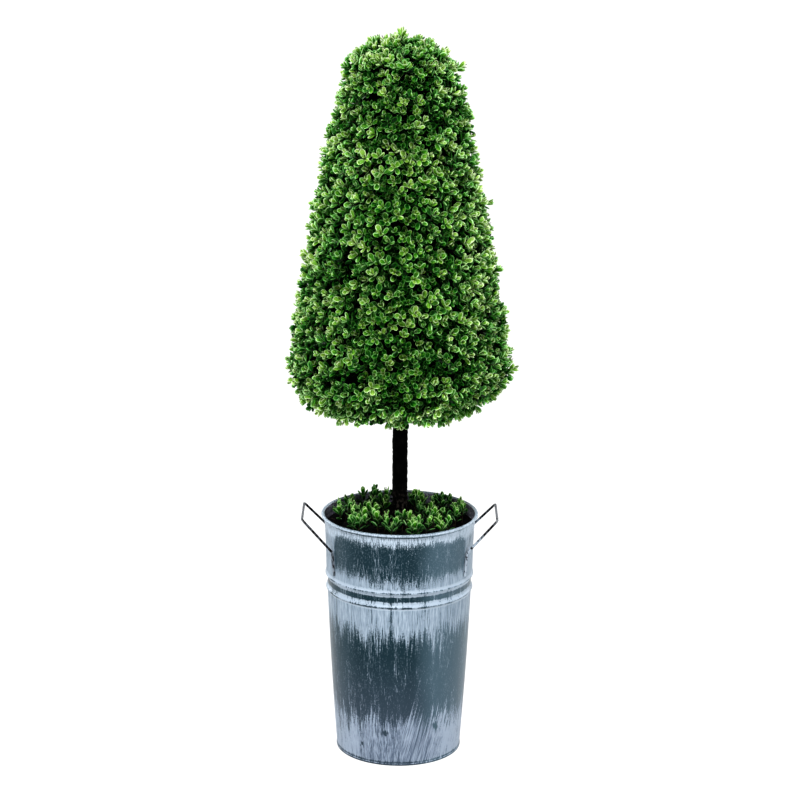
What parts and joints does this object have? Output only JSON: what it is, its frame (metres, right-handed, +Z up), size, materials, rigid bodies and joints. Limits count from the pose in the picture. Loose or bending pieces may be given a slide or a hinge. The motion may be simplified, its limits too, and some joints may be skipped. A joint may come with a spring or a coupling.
{
  "type": "artificial boxwood cone topiary",
  "caption": "Artificial boxwood clipped to a rounded cone on a straight dark pole, standing in a tapered, whitewashed metal bucket with wire handles and leafy sprigs round its foot.",
  "frame": {"origin": "middle of the bucket's underside, on the surface it stands on", "axes": "+Z up along the pole; the two wire handles point along +X and -X; -Y is the front"},
  "size_m": [0.3431, 0.3448, 1.124],
  "materials": {
    "washed_metal": "dark slate paint brushed over with vertical strokes of white, satin, worn",
    "handle_wire": "drawn steel wire, greyed, satin",
    "filling": "rough near-black potting grit over a cast weight",
    "dark_bark": "near-black pole with a coarse bark-like covering",
    "boxwood_leaf": "soft satin leaves from dark to yellow green"
  },
  "bodies": {
    "root": {"bucket_wall": "washed_metal", "bucket_base": "washed_metal", "handle_left": "handle_wire", "handle_right": "handle_wire", "filling": "filling", "ground_sprig_01": "boxwood_leaf", "ground_sprig_02": "boxwood_leaf", "ground_sprig_03": "boxwood_leaf", "ground_sprig_04": "boxwood_leaf", "ground_sprig_05": "boxwood_leaf", "ground_sprig_06": "boxwood_leaf", "ground_sprig_07": "boxwood_leaf", "ground_sprig_08": "boxwood_leaf", "ground_sprig_09": "boxwood_leaf", "ground_sprig_10": "boxwood_leaf", "ground_sprig_11": "boxwood_leaf", "ground_sprig_12": "boxwood_leaf", "ground_sprig_13": "boxwood_leaf", "ground_sprig_14": "boxwood_leaf", "ground_sprig_15": "boxwood_leaf", "ground_sprig_16": "boxwood_leaf", "ground_sprig_17": "boxwood_leaf", "ground_sprig_18": "boxwood_leaf", "ground_sprig_19": "boxwood_leaf", "ground_sprig_20": "boxwood_leaf", "ground_sprig_21": "boxwood_leaf", "ground_sprig_22": "boxwood_leaf", "ground_sprig_23": "boxwood_leaf", "ground_sprig_24": "boxwood_leaf", "trunk_pole": "dark_bark", "crown_foliage": "boxwood_leaf"}
  },
  "joints": []
}
